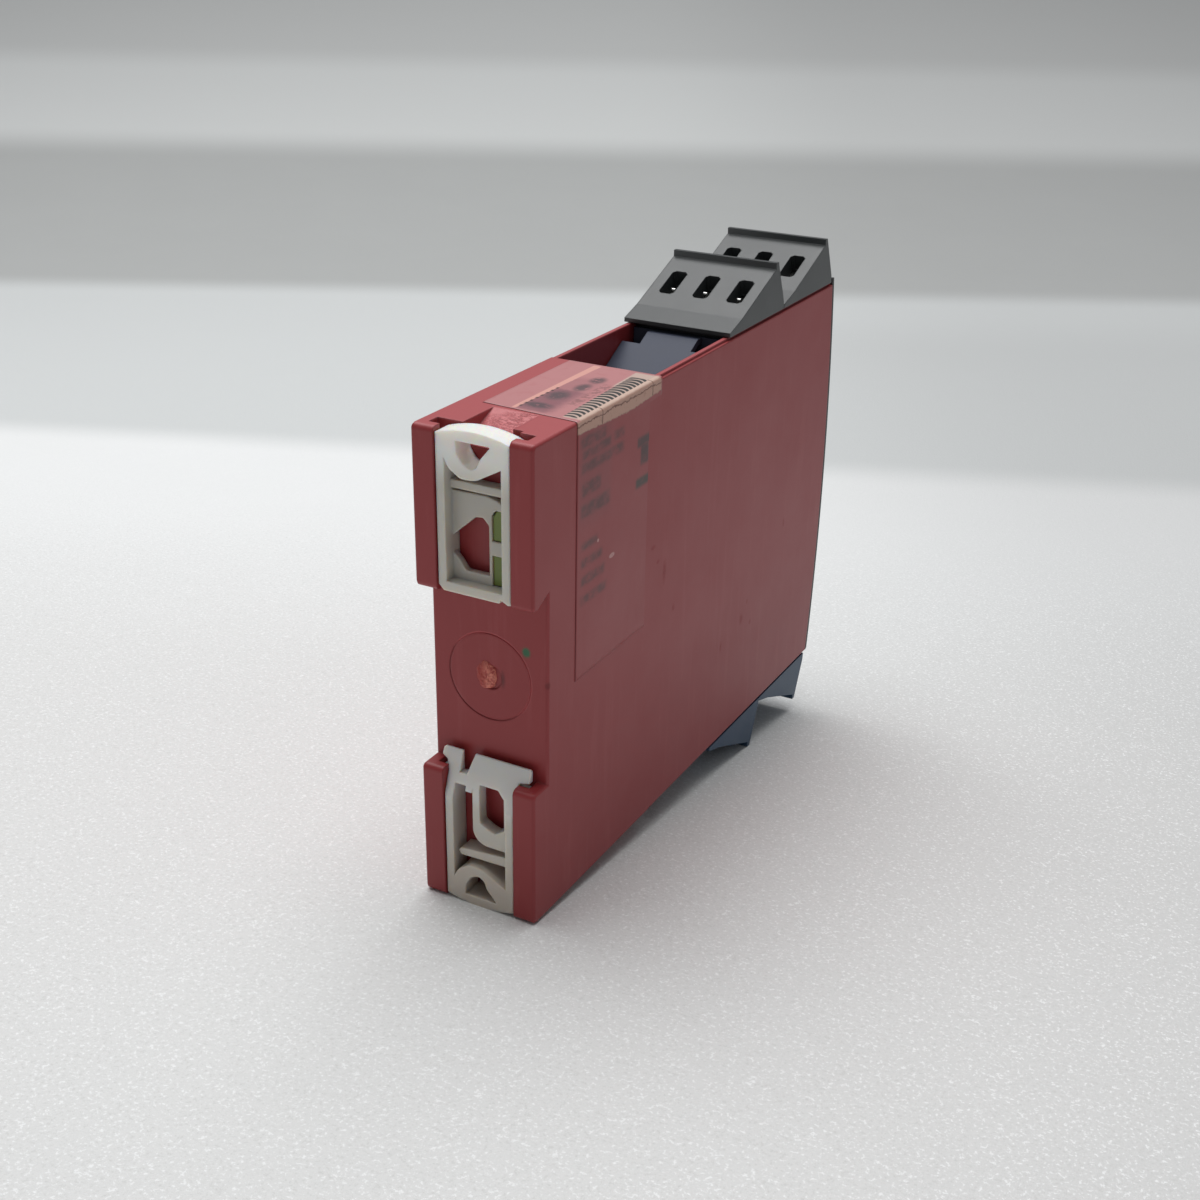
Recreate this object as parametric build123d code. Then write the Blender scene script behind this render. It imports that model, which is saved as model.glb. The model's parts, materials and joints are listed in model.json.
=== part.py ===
from build123d import *
import math
import os

# A slim module for a standard 35 mm mounting rail. It stands upright, rail side towards +Y.
# Depths run forward from the rear faces of the jaws, heights run up from the housing's underside.

# Rail that the module clips on
rail_height = 35.0
rail_flange = 1.0
rail_play = 0.2
flange_play = 0.1

# Housing
module_width = 22.5
upper_jaw_height = 26.3
lower_jaw_height = 25.9
housing_depth = 124.0
front_bulge = 2.7
side_wall = 1.5
end_wall = 1.8
rear_wall = 1.9
hook_reach = 2.3
rear_step = 4.6
roof_depth = 43.5
jaw_round = 1.0
edge_break = 0.35
rebate_width = 0.65
rebate_depth = 0.45

# Channels for the two clip feet, with a ramp for a screwdriver at each outer end
neck_width = 14.1
slot_width = 18.2
lip_depth = 2.1
ramp_width = 8.6
ramp_reach = 9.0
ramp_drop = 3.6
catch_width = 1.9
catch_depth = 1.0

# Moulding marks on the rear face
ring_radius = 8.0
ring_line = 0.22
ring_depth = 0.15
gate_radius = 2.3
gate_depth = 0.3

# Clip feet
foot_play = 0.15
foot_rail = 1.6
foot_crown = 1.1
foot_flush = 0.25
pry_inset = 1.85
pry_hole = ((3.1, 0), (-3.5, 0), (-1.5, 2.35), (-0.9, 3.85), (0.3, 4.5), (1.8, 3.75), (2.9, 2.15))
loop_rise = (3.05, 3.45)
loop_top = ((4.4, 4.75), (2.2, 6.15), (0.4, 6.15), (-0.9, 5.9))
bar_offset = 9.2
bar_height = 1.3
web_recess = 2.45
web_thick = 1.2
web_gap = 0.6
web_drop = 7.7
web_window = 3.6
leg_across = 1.65
leg_width = 0.45
bridge_height = 2.4
strip_thick = 1.1
strip_recess = 0.3
sill_height = 1.65
sill_corner = (2.45, 2.8)
head_height = 2.8
head_drop = 5.8
head_tip = 0.4
hook_width = 3.8
latch_across = 2.2
stem_across = 1.75
stem_width = 1.35
j_recess = 0.9
j_thick = 2.3
j_drop = (4.35, 3.35, 2.95, 4.15)
j_rise = 1.95
j_round = 3.0
lug_height = 0.6
ramp_low = 2.3

# Plug-in terminal blocks, two above and two below
plug_length = 25.8
plug_gap = 0.2
plug_margin = 0.6
plug_rise = 9.0
rib_height = 1.2
rib_width = 1.0
plug_seat = 0.2
plug_inset = 0.1
plug_keel = 11.5
keel_rear = 2.6
keel_front = 2.4
keel_play = 0.3
pole_pitch = 7.2
pole_count = 3

slope_foot = (5.2, 2.6)
slope_inset = 5.0
rib_foot = 1.8

# Clamp inside each pole
clamp_inset = 9.4
clamp_rise = 0.6
entry_width = 3.2
entry_length = 7.5
entry_corner = 0.6
entry_reach = 3.2
cage_width = 3.9
cage_size = 5.0
cage_wall = 0.9
cage_play = 0.12
screw_radius = 1.25
screw_head = 1.9
screw_head_height = 1.7
screw_reach = 5.2
shank_start = 0.4
shank_sides = 12
bore_play = 0.25
thread_play = 0.05
pin_size = 1.0
pin_inset = 11.7
pin_bite = 6.5
strip_metal = 0.4
strip_width = 2.2
contact_low = 0.6
contact_top = 3.1
throat_size = 5.0
slot_top = 2.4

# Terminal carriers
carrier_play = 0.15
carrier_floor = 2.0
carrier_wall = 1.2
apron_angle = 28.0
apron_thick = 1.2
apron_length = 22.9
crest_step = 1.8
tongue_half = 5.8
notch_depth = 3.0
notch_drop = 5.0

# Circuit board and what it holds
board_thick = 1.6
board_wall_gap = 0.25
board_back = 2.5
board_inset = 6.0
nose_inset = 2.0
nose_drop = 16.7
nose_rise = 20.3
board_gap = 0.3
lead_step = 1.5
core_back = 15.0
core_drop = 9.7
core_deep = 17.0
core_tall = 20.0
core_leg = 2.6
core_near = 2.2
core_far = 13.0
coil_play = 0.2
optocoupler_size = (4.2, 7.3, 6.4)
optocoupler_spots = ((-23.6, -23.7), (-11.6, -23.7))
large_chip = (1.8, 10.0, 10.0)
small_chip = (1.8, 6.0, 5.0)
chip_spots = ((8.4, -5.7), (24.4, -21.7))
can_size = (4.0, 11.0)
small_can = (3.2, 9.0)
can_spots = ((16.4, 16.3), (28.4, 16.3))
small_can_spot = (7.0, -19.7)

# Front cover, indicator lamps and setting switches
cover_thick = 0.9
cover_gap = 0.1
cover_lip = 1.0
tongue_height = 6.5
tongue_thick = 1.2
tongue_gap = 0.1
lamp_radius = 1.5
lamp_play = 0.15
lamp_proud = 0.6
lamp_rises = (18.3, 13.3, 8.3)
lamp_across = 4.0
lens_length = 7.0
holder_rear = 9.5
holder_front = 5.0
holder_half = 1.9
switch_count = 4
switch_pitch = 2.54
switch_drop = 12.7
switch_width = 9.6
switch_deep = 5.5
lever_size = 1.2
lever_travel = 1.6
lever_proud = 0.9
lever_play = 0.1

half = module_width / 2
inside = half - side_wall
plug_top = plug_rise + rib_height
base_z = plug_top
hook_height = lower_jaw_height + rail_height + rail_play
housing_height = hook_height + upper_jaw_height
middle = housing_height / 2
front_bow = (housing_height ** 2 / 4 + front_bulge ** 2) / (2 * front_bulge)
head_front = rear_step - rail_flange - flange_play
carrier_half = inside - carrier_play
board_face = inside - board_wall_gap - board_thick
keel_half = inside - 0.35
board_edge = plug_keel + 0.4 + carrier_floor + board_gap
plug_pitch = plug_length + plug_gap
first_plug = housing_depth - plug_margin - plug_length - plug_pitch
pin_depth = plug_length - pin_inset
carrier_rear = first_plug + keel_rear - keel_play - carrier_wall
crest = carrier_rear - crest_step
apron_rear = crest - apron_length
board_rear = rear_step + rear_wall + board_back
board_front = housing_depth - board_inset
switch_low = middle - switch_drop
lamp_heights = [middle + rise for rise in lamp_rises]
far = 20.0


def front_at(height):
    """Depth of the housing's front edge at a height."""
    rise = height - middle
    return housing_depth + front_bulge - front_bow + math.sqrt(front_bow ** 2 - rise ** 2)


rear_y = (front_at(lamp_heights[-1]) + cover_gap + cover_thick + lamp_proud) / 2


def spot(x, depth, height):
    """A point from its place across, its depth behind the rear face and its height."""
    return (x, rear_y - depth, base_z + height)


def block(x0, x1, d0, d1, h0, h1):
    corner = spot(x0, d1, h0)
    return Pos(*corner) * Box(x1 - x0, d1 - d0, h1 - h0, align=(Align.MIN,) * 3)


def side_prism(points, x0, x1, radii=0.0):
    """Extrude an outline of (depth, height) points across the module."""
    outline = [(rear_y - d, base_z + h) for d, h in points]
    face = make_face(FilletPolyline(*outline, radius=radii, close=True))
    return extrude(Plane.YZ.offset(x0) * face, amount=x1 - x0, dir=(1, 0, 0))


def rear_sketch(sketch, d0, d1):
    """Extrude a sketch of (across, height) from one depth to another."""
    plane = Plane.XZ.offset(d0 - rear_y)
    return extrude(plane * sketch, amount=d1 - d0, dir=(0, -1, 0))


def rear_prism(points, d0, d1, radii=0.0):
    outline = [(x, base_z + h) for x, h in points]
    return rear_sketch(make_face(FilletPolyline(*outline, radius=radii, close=True)), d0, d1)


def upend(shape):
    """Turn an upper piece into its lower twin."""
    return mirror(shape, about=Plane.XY.offset(base_z + middle))


def front_round(grow):
    """The gentle cylinder that bounds the front, grown outward."""
    centre = spot(0, housing_depth + front_bulge - front_bow, middle)
    return Pos(*centre) * Rot(0, 90, 0) * Cylinder(front_bow + grow, module_width + far)


# Housing: one moulding, open at the front and over the terminals
def make_housing():
    h = housing_height
    nose = housing_depth + far
    outline = [(0, 0), (0, lower_jaw_height), (rear_step, lower_jaw_height), (rear_step, hook_height),
               (0, hook_height - hook_reach), (0, h), (nose, h), (nose, 0)]
    rounds = [jaw_round, jaw_round, 0, 0, jaw_round, jaw_round, 0, 0]
    body = side_prism(outline, -half, half, rounds) & front_round(0)
    sides = body.faces().sort_by(Axis.X)
    rims = (sides[0].edges() + sides[-1].edges()).filter_by(lambda e: e.center().Y > rear_y - housing_depth + 1)
    body = chamfer(rims, edge_break)

    floor = rear_step + rear_wall
    shelf = ramp_drop + end_wall
    hollow = [(floor, shelf), (rear_step + ramp_reach, end_wall), (nose, end_wall),
              (nose, h - end_wall), (rear_step + ramp_reach, h - end_wall), (floor, h - shelf)]
    body -= side_prism(hollow, -inside, inside)
    body -= block(-inside, inside, roof_depth, nose, -far, h + far)

    for low, high in ((-far, lower_jaw_height), (hook_height - hook_reach - 1, h + far)):
        body -= block(-neck_width / 2, neck_width / 2, -far, rear_step, low, high)
        body -= block(-slot_width / 2, slot_width / 2, lip_depth, rear_step, low, high)
    ramp = [(rear_step, h - ramp_drop), (rear_step + ramp_reach, h),
            (rear_step + ramp_reach, h + far), (rear_step, h + far)]
    ramp = side_prism(ramp, -ramp_width / 2, ramp_width / 2)
    body -= [ramp, upend(ramp)]
    side = -ramp_width / 2
    body -= block(side - catch_width, side, rear_step - 1, rear_step + catch_depth, h - catch_depth, h + far)

    rebate = block(half - rebate_width, half + far, roof_depth, nose, h - rebate_depth, h + far)
    rebate += mirror(rebate, about=Plane.YZ)
    body -= [rebate, upend(rebate)]

    heart = Pos(0, base_z + (lower_jaw_height + hook_height) / 2)
    ring = Circle(ring_radius + ring_line / 2) - Circle(ring_radius - ring_line / 2)
    body -= rear_sketch(heart * ring, rear_step, rear_step + ring_depth)
    body -= rear_sketch(heart * Circle(gate_radius), rear_step, rear_step + gate_depth)
    return body


# Clip feet: sprung frames that slide in the jaws' channels
foot_edge = neck_width / 2 - foot_play
foot_flange = slot_width / 2 - foot_play
foot_deep = rear_step - foot_play
foot_gap = foot_edge - foot_rail
web_start = bar_offset + bar_height + web_gap
upper_length = upper_jaw_height + hook_reach + foot_flush - rail_flange
lower_length = lower_jaw_height + foot_flush


def foot_frame(length):
    """The shared frame, seen from behind: crown at height 0, rail end up at its length."""
    gap = foot_gap
    crown = Polyline((-foot_edge, foot_crown), (-foot_edge, length), (foot_edge, length), (foot_edge, foot_crown))
    crown += ThreePointArc((foot_edge, foot_crown), (0, 0), (-foot_edge, foot_crown))
    frame = rear_sketch(Pos(0, base_z) * make_face(crown), foot_flush, foot_deep)
    frame = fillet(frame.edges().filter_by(Axis.Z).group_by(Axis.Y)[-1], 0.3)
    frame += block(-foot_flange, foot_flange, lip_depth + foot_play, foot_deep, 2 * foot_crown, length - foot_crown)
    frame -= block(-gap, gap, -far, far, pry_inset, length - foot_rail)

    loop = [(gap, 0), (gap, loop_rise[0]), *loop_top, (-gap, loop_rise[1]), (-gap, 0)]
    loop = [(x, pry_inset + y) for x, y in loop]
    hole = [(x, pry_inset + y) for x, y in pry_hole]
    loop = rear_prism(loop, foot_flush, foot_deep, [0, 0, 2.0, 2.0, 2.0, 2.0, 0, 0])
    loop -= rear_prism(hole, -far, far, [0.2, 0.2, 1.5, 0.8, 0.9, 1.5, 1.0])
    return frame + loop


def make_upper_foot():
    length = upper_length
    gap = foot_gap
    end = length - foot_rail
    start = web_start
    slot = start + 2.0
    leg = -leg_across
    foot = foot_frame(length)
    foot += block(-gap, gap, web_recess - 0.4, foot_deep, bar_offset, bar_offset + bar_height)
    web = [(gap, start), (-1.2, start - 0.1), (-3.2, start + 0.4), (-gap, start + 1.6), (-gap, slot), (-2.8, slot),
           (leg - leg_width, slot + 0.9), (leg - leg_width, end), (leg, end), (leg, start + web_window + 1.2),
           (-0.5, start + web_window), (0.9, start + web_window + 0.2), (gap, start + web_drop)]
    rounds = [0, 1.2, 1.4, 0, 0, 0.7, 0.4, 0, 0, 0.6, 0.6, 0.6, 0]
    foot += rear_prism(web, web_recess, web_recess + web_thick, rounds)
    bridge = (slot + end) / 2 - bridge_height / 2
    foot += block(-gap, leg, web_recess, web_recess + web_thick, bridge, bridge + bridge_height)
    across, rise = sill_corner
    ledge = end - sill_height
    sill = [(gap, ledge - rise), (gap - across / 2, ledge - 0.6 * rise), (gap - across, ledge),
            (leg, ledge), (leg, end), (gap, end)]
    foot += rear_prism(sill, web_recess, web_recess + web_thick, [0, 0.8, 0.8, 0, 0, 0])
    foot -= block(-far, far, head_front, far, length - hook_reach, length + far)
    corner = [(foot_edge - 1.1, length), (foot_edge + 0.1, length - 1.2), (far, length - 1.2), (far, length + far),
              (foot_edge - 1.1, length + far)]
    notch = [(0.6 - gap, length + 0.1), (0.4 - gap, length - 0.7), (0.4 - foot_edge, length + 0.1)]
    foot -= [rear_prism(corner, -far, far), rear_prism(notch, -far, far)]
    foot = mirror(foot, about=Plane.XY.offset(base_z))
    return Pos(0, 0, housing_height + foot_flush) * foot


def make_strip():
    """The green strip behind the upper foot's slots, with a pad that stands up into each slot."""
    crown = housing_height + foot_flush
    edge = foot_play - foot_gap
    rear = web_recess + web_thick + foot_play / 2
    end = upper_length - foot_rail - foot_play
    strip = block(edge, -leg_across, rear, min(rear + strip_thick, foot_deep), crown - end, crown - web_start - 1.3)
    slot = web_start + 2.0 + foot_play
    bridge = (web_start + 2.0 + upper_length - foot_rail - bridge_height) / 2 - foot_play
    across = -leg_across - leg_width - foot_play
    pads = [[(edge, slot), (-3.0, slot), (across, slot + 1.1), (across, bridge), (edge, bridge)],
            [(edge, bridge + bridge_height + 2 * foot_play), (across, bridge + bridge_height + 2 * foot_play),
             (across, end), (edge, end)]]
    for pad in pads:
        strip += rear_prism([(x, crown - y) for x, y in pad], web_recess + strip_recess, rear)
    return strip


def make_lower_foot():
    length = lower_length
    gap = foot_gap
    rise = length + head_height
    foot = foot_frame(length)
    foot -= block(-gap, gap, -far, far, length - foot_rail - 1, length + far)
    foot -= block(-far, far, head_front, far, length - foot_crown, length + far)
    bar = [(-gap, bar_offset + 0.3), (-gap, bar_offset + bar_height + 0.8), (gap - 1.0, bar_offset + bar_height),
           (gap - 0.5, bar_offset + 0.8), (gap - 1.0, bar_offset)]
    foot += rear_prism(bar, foot_flush + j_recess, foot_deep, [0, 0, 0.4, 0.2, 0.4])

    low = rise - head_drop
    latch = [(latch_across, rise), (-foot_flange, rise), (-foot_flange, rise - 2.2), (-foot_edge, rise - 2.6),
             (-foot_edge, low), (0.7 - gap, low - 0.1), (2.0 - gap, low + 1.1), (stem_across, low + 1.1),
             (stem_across, low - lug_height), (latch_across + 0.8, low - lug_height),
             (latch_across + 1.0, rise - 3.5)]
    latch = rear_prism(latch, foot_flush, head_front, [0, 0.4, 0, 0.5, 0, 0, 0.5, 0, 0, 0, 0])
    hook = [(foot_edge + 1.6 - hook_width, rise), (foot_edge + 1.6, rise), (foot_edge + 1.7, rise - 1.4),
            (foot_edge + 0.6, rise - 2.0), (foot_edge, rise - 3.6), (foot_edge, low), (gap, low),
            (foot_edge + 1.6 - hook_width, rise - 3.2)]
    hook = rear_prism(hook, foot_flush, head_front, [0, 0.4, 0.4, 0, 0, 0, 0, 0.3])
    bridge = block(latch_across, gap + 0.3, foot_flush, head_front, low + 0.3, low + 2.1)
    lean = (head_front - head_tip, rise)
    foot += latch + hook + bridge

    base = bar_offset + bar_height + j_rise
    shelf = low + 1.1
    right = 0.7 - gap
    j = [(stem_across, shelf), (stem_across - stem_width, shelf), (stem_across - stem_width, base + j_drop[0]),
         (-1.4, base + j_drop[1]), (-2.7, base + j_drop[2]), (right, base + j_drop[3]),
         (right, shelf - 1.2), (right, shelf),
         (-gap, shelf), (-gap, base), (stem_across, base)]
    rounds = [0, 0, 0.9, 0.6, 0.5, 0.4, 0, 0, 0, 0, j_round]
    foot += rear_prism(j, foot_flush + j_recess, foot_flush + j_recess + j_thick, rounds)
    ramp = [(foot_flush, low - ramp_low), lean, (lean[0], rise + 1), (-far, rise + 1), (-far, low - ramp_low)]
    foot -= side_prism(ramp, -half, half)
    return Pos(0, 0, -foot_flush) * foot & block(-half, half, 0, foot_deep, -foot_flush, hook_height)


# Terminal blocks: plugs with an entry on the rear slope and a screw in the front face
slope_end = (plug_length - slope_inset, plug_rise)
slope_angle = math.atan2(slope_end[1] - slope_foot[1], slope_end[0] - slope_foot[0])
face_foot = (plug_length - 0.2, rib_foot)
face_head = (slope_end[0] + rib_width, plug_top)
screw_angle = math.atan2(face_foot[0] - face_head[0], face_head[1] - face_foot[1])
clamp_depth = plug_length - clamp_inset
poles = [(i - (pole_count - 1) / 2) * pole_pitch for i in range(pole_count)]


def clamp_frame(x, tip):
    """A frame at the heart of a clamp: its Z runs out along the screw, its Y up towards the entry."""
    centre = spot(x, tip + clamp_depth, housing_height + clamp_rise)
    out = (0, -math.cos(screw_angle), math.sin(screw_angle))
    return Plane(origin=centre, x_dir=(1, 0, 0), z_dir=out)


def make_plug(tip):
    h = housing_height
    head = [(0, plug_seat), (0, 1.0), slope_foot, slope_end, (slope_end[0], plug_top), face_head,
            face_foot, (plug_length, plug_seat)]
    head = [(tip + d, h + z) for d, z in head]
    plug = side_prism(head, -half + plug_inset, half - plug_inset, [0, 0, 3.0, 0, 0, 0, 0.6, 0])
    keel = [(tip + keel_rear, h + 1), (tip + keel_rear, h - plug_keel), (tip + plug_length - keel_front,
            h - plug_keel), (tip + plug_length - keel_front, h + 1)]
    plug += side_prism(keel, -keel_half, keel_half)
    halfway = (slope_foot[0] + slope_end[0]) / 2 - 0.2
    level = slope_foot[1] + (halfway - slope_foot[0]) * math.tan(slope_angle)
    room = cage_size + 2 * cage_play
    entry_outline = Rectangle(entry_width, entry_length)
    entry_outline = chamfer(entry_outline.vertices(), entry_corner)
    for x in poles:
        normal = (0, math.sin(slope_angle), math.cos(slope_angle))
        mouth = Plane(origin=spot(x, tip + halfway, h + level), x_dir=(1, 0, 0), z_dir=normal)
        entry = mouth * extrude(entry_outline, amount=entry_reach, both=True)
        frame = clamp_frame(x, tip)
        pocket = frame * Box(cage_width + 2 * cage_play, room, room)
        throat = frame * Pos(0, room / 2, 0) * Box(entry_width, throat_size, room - 1.2)
        bore = frame * Cylinder(screw_head + bore_play, 2 * far, align=(Align.CENTER, Align.CENTER, Align.MIN))
        slot = block(x - strip_width / 2 - 0.2, x + strip_width / 2 + 0.2, tip + pin_depth - 0.25,
                     tip + pin_depth + pin_size + strip_metal + 0.3, h - plug_keel - 1, h - slot_top)
        plug -= [entry, pocket, throat, bore, slot]
    return plug


def make_cages(tip):
    wire_room = cage_size - 2 * cage_wall
    cages = []
    for x in poles:
        cage = Box(cage_width, cage_size, cage_size)
        cage -= Box(cage_width - 1.0, cage_size + 1, wire_room)
        cage -= extrude(RegularPolygon(screw_radius + thread_play, shank_sides), amount=far)
        cages.append(clamp_frame(x, tip) * cage)
    return cages


def make_screws(tip):
    """Slotted screws; the few-sided shank stands for the thread."""
    shank_length = screw_reach - shank_start
    screws = []
    for x in poles:
        shank = Pos(0, 0, shank_start) * extrude(RegularPolygon(screw_radius, shank_sides), amount=shank_length)
        head = Pos(0, 0, screw_reach) * Cylinder(screw_head, screw_head_height,
                                                 align=(Align.CENTER, Align.CENTER, Align.MIN))
        screw = shank + head
        screw -= Pos(0, 0, screw_reach + screw_head_height) * Box(2 * screw_head + 1, 0.6, 1.4)
        screws.append(clamp_frame(x, tip) * screw)
    return screws


def make_contacts(tip):
    low = housing_height - plug_keel + contact_low
    start = tip + pin_depth + pin_size + 0.1
    return [block(x - strip_width / 2, x + strip_width / 2, start, start + strip_metal,
                  low, housing_height - contact_top) for x in poles]


def make_pins(tip):
    """Header pins: each stands up into its plug, and a leg turns across to the board."""
    top = housing_height - pin_bite
    under = housing_height - plug_keel - 0.4 - carrier_floor
    pins = []
    for i, x in enumerate(poles):
        low = under - lead_step * (pole_count - i) - 0.4
        x0 = x - pin_size / 2
        d0 = tip + pin_depth
        pin = block(x0, x0 + pin_size, d0, d0 + pin_size, low, top)
        pin = chamfer(pin.faces().sort_by(Axis.Z)[-1].edges(), 0.3)
        pins.append(pin + block(x0, board_face, d0, d0 + pin_size, low, low + 0.8))
    return pins


# Terminal carriers: the headers' floor and walls, with a sloping apron behind the rear plug
def make_carrier():
    h = housing_height
    top = h - 0.9
    floor_top = h - plug_keel - 0.4
    floor_low = floor_top - carrier_floor
    front = first_plug + plug_pitch + plug_length - keel_front + keel_play + carrier_wall
    carrier = block(-carrier_half, carrier_half, apron_rear, front, floor_low, floor_top)
    for i in range(2):
        tip = first_plug + i * plug_pitch
        for d in (tip + keel_rear - keel_play - carrier_wall, tip + plug_length - keel_front + keel_play):
            carrier += block(-carrier_half, carrier_half, d, d + carrier_wall, floor_low, top)
        for x in poles:
            hole = pin_size / 2 + thread_play
            d0 = tip + pin_depth - thread_play
            carrier -= block(x - hole, x + hole, d0, d0 + 2 * hole, floor_low - 1, floor_top + 1)
    fall = apron_length * math.tan(math.radians(apron_angle))
    lap = carrier_rear + carrier_wall / 2
    apron = [(apron_rear, top - fall), (crest, top), (lap, top), (lap, top - apron_thick),
             (crest + 0.4, top - apron_thick), (apron_rear + 1.0, floor_low), (apron_rear, floor_low)]
    carrier += side_prism(apron, -carrier_half, carrier_half)
    carrier -= block(tongue_half, far, crest - notch_depth, carrier_rear, h - notch_drop, h)
    carrier -= block(-far, -tongue_half + 0.9, crest - notch_depth, carrier_rear, h - notch_drop, h)
    return carrier


# Circuit board and components
def make_board():
    face = board_face
    board = block(face, face + board_thick, board_rear, board_front, board_edge, housing_height - board_edge)
    board += block(face, face + board_thick, board_front - 1, housing_depth - nose_inset, middle - nose_drop,
                   middle + nose_rise)
    return board


def on_board(size, depth, height):
    """A block of this reach, depth and height that stands on the board's face."""
    reach, deep, tall = size
    return block(board_face - reach, board_face, depth, depth + deep, height, height + tall)


def make_transformer():
    """A core with two windows, and the wound coil round its middle leg."""
    rear = board_rear + core_back
    low = middle - core_drop
    leg = core_leg
    core = block(board_face - core_far, board_face - core_near, rear, rear + core_deep, low, low + core_tall)
    window = (core_deep - 4 * leg) / 2
    for d in (rear + leg, rear + core_deep - leg - window):
        core -= block(-far, far, d, d + window, low + leg, low + core_tall - leg)
    coil = block(board_face - core_far - core_near, board_face, rear + leg + coil_play,
                 rear + core_deep - leg - coil_play, low + leg + coil_play, low + core_tall - leg - coil_play)
    coil = fillet(coil.edges().filter_by(Axis.Z), core_near * 0.7)
    coil -= block(board_face - core_far - coil_play, board_face - core_near + coil_play,
                  rear + leg + window - coil_play, rear + leg * 3 + window + coil_play, low, low + core_tall)
    return core, coil


def make_optocouplers():
    return [on_board(optocoupler_size, first_plug + d, middle + h) for d, h in optocoupler_spots]


def make_chips():
    return [on_board(size, first_plug + d, middle + h)
            for size, (d, h) in zip((large_chip, small_chip), chip_spots)]


def make_can(size, depth, height):
    radius, tall = size
    can = Rot(0, -90, 0) * Cylinder(radius, tall, align=(Align.CENTER, Align.CENTER, Align.MIN))
    can = chamfer(can.edges().sort_by(Axis.X)[0], 0.5)
    return Pos(*spot(board_face, depth, middle + height)) * can


def make_capacitors():
    cans = [make_can(can_size, first_plug + d, h) for d, h in can_spots]
    return cans + [make_can(small_can, board_rear + small_can_spot[0], small_can_spot[1])]


# Setting switches behind the front cover, one lever for each position
def switch_front():
    low = switch_low
    high = switch_low + switch_count * switch_pitch
    return min(front_at(low), front_at(high)) - 1.2


def lever_height(i):
    return switch_low + (i + 0.5) * switch_pitch


def make_switch():
    front = switch_front()
    high = switch_low + switch_count * switch_pitch
    body = on_board((switch_width, switch_deep, high - switch_low + 0.8), front - switch_deep, switch_low - 0.4)
    centre = board_face - switch_width / 2
    room = lever_size + lever_travel + 2 * lever_play
    for i in range(switch_count):
        h = lever_height(i)
        half_slot = lever_size / 2 + lever_play
        body -= block(centre - room / 2, centre + room / 2, front - 2.2, far * 9, h - half_slot, h + half_slot)
    return body


def make_lever(i):
    front = switch_front()
    h = lever_height(i)
    x0 = board_face - switch_width / 2 + (lever_travel - lever_size) / 2
    lever = block(x0, x0 + lever_size, front - 2.2 + lever_play, front + lever_proud,
                  h - lever_size / 2, h + lever_size / 2)
    return chamfer(lever.faces().sort_by(Axis.Y)[0].edges(), 0.2)


def make_lamp(height):
    face = front_at(height) + cover_thick + cover_gap
    lens = Pos(*spot(lamp_across, face + lamp_proud, height)) * Rot(90, 0, 0) * Cylinder(
        lamp_radius, lens_length, align=(Align.CENTER, Align.CENTER, Align.MAX))
    lens = chamfer(lens.edges().sort_by(Axis.Y)[0], lamp_radius * 0.4)
    holder = block(lamp_across - holder_half, board_face, face - holder_rear, face - holder_front,
                   height - holder_half, height + holder_half)
    return lens + holder


def make_cover():
    top = housing_height + cover_lip
    edge = half - 0.05
    shell = front_round(cover_thick + cover_gap) - front_round(cover_gap)
    cover = shell & block(-edge, edge, housing_depth - 4, housing_depth + far, 0.3, top)
    corner = cover.edges().filter_by(Axis.X).group_by(Axis.Z)[0].sort_by(Axis.Y)[0]
    cover = fillet(corner, cover_thick * 0.8)
    tab = carrier_half - 0.1
    for h in (board_edge + tongue_gap, housing_height - board_edge - tongue_gap - tongue_height):
        tongue = block(tab - tongue_thick, tab, board_front + 1.5, front_at(h) + cover_gap + 0.3, h, h + tongue_height)
        cover += tongue + mirror(tongue, about=Plane.YZ)
    for h in lamp_heights:
        cover -= Pos(*spot(lamp_across, housing_depth, h)) * Rot(90, 0, 0) * Cylinder(lamp_radius + lamp_play, far)
    high = switch_low + switch_count * switch_pitch
    centre = board_face - switch_width / 2
    window = block(centre - switch_width / 2 + 1.5, centre + switch_width / 2 - 1.5, housing_depth - 3,
                   housing_depth + far, switch_low, high)
    return cover - fillet(window.edges().filter_by(Axis.Y), 0.6)


def save(name, shape):
    """Write one piece, or a group of like pieces, to its own file."""
    group = list(shape) if isinstance(shape, (list, tuple)) else [shape]
    group = [solid for item in group for solid in item.solids()]
    export_step(group[0] if len(group) == 1 else Compound(children=group), f"parts/{name}.step")


os.makedirs("parts", exist_ok=True)
save("housing", make_housing())
save("front_cover", make_cover())
save("upper_foot", make_upper_foot())
save("foot_strip", make_strip())
save("lower_foot", make_lower_foot())
carrier = make_carrier()
save("upper_carrier", carrier)
save("lower_carrier", upend(carrier))

for place, tip in (("rear", first_plug), ("front", first_plug + plug_pitch)):
    pieces = {
        "plug": [make_plug(tip)],
        "clamp_cages": make_cages(tip),
        "clamp_screws": make_screws(tip),
        "contacts": make_contacts(tip),
        "header_pins": make_pins(tip),
    }
    for name, solids in pieces.items():
        save(f"upper_{place}_{name}", solids)
        save(f"lower_{place}_{name}", [upend(solid) for solid in solids])

save("circuit_board", make_board())
core, bobbin = make_transformer()
save("transformer_core", core)
save("transformer_coil", bobbin)
save("optocouplers", make_optocouplers())
save("logic_chips", make_chips())
save("capacitors", make_capacitors())
save("setting_switch", make_switch())
for i in range(switch_count):
    save(f"switch_lever_{i + 1}", make_lever(i))
for name, height in zip(("power", "signal", "fault"), lamp_heights):
    save(f"{name}_lamp", make_lamp(height))
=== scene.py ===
import bpy
import bmesh
import json
import math
from mathutils import Matrix, Vector, noise


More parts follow.
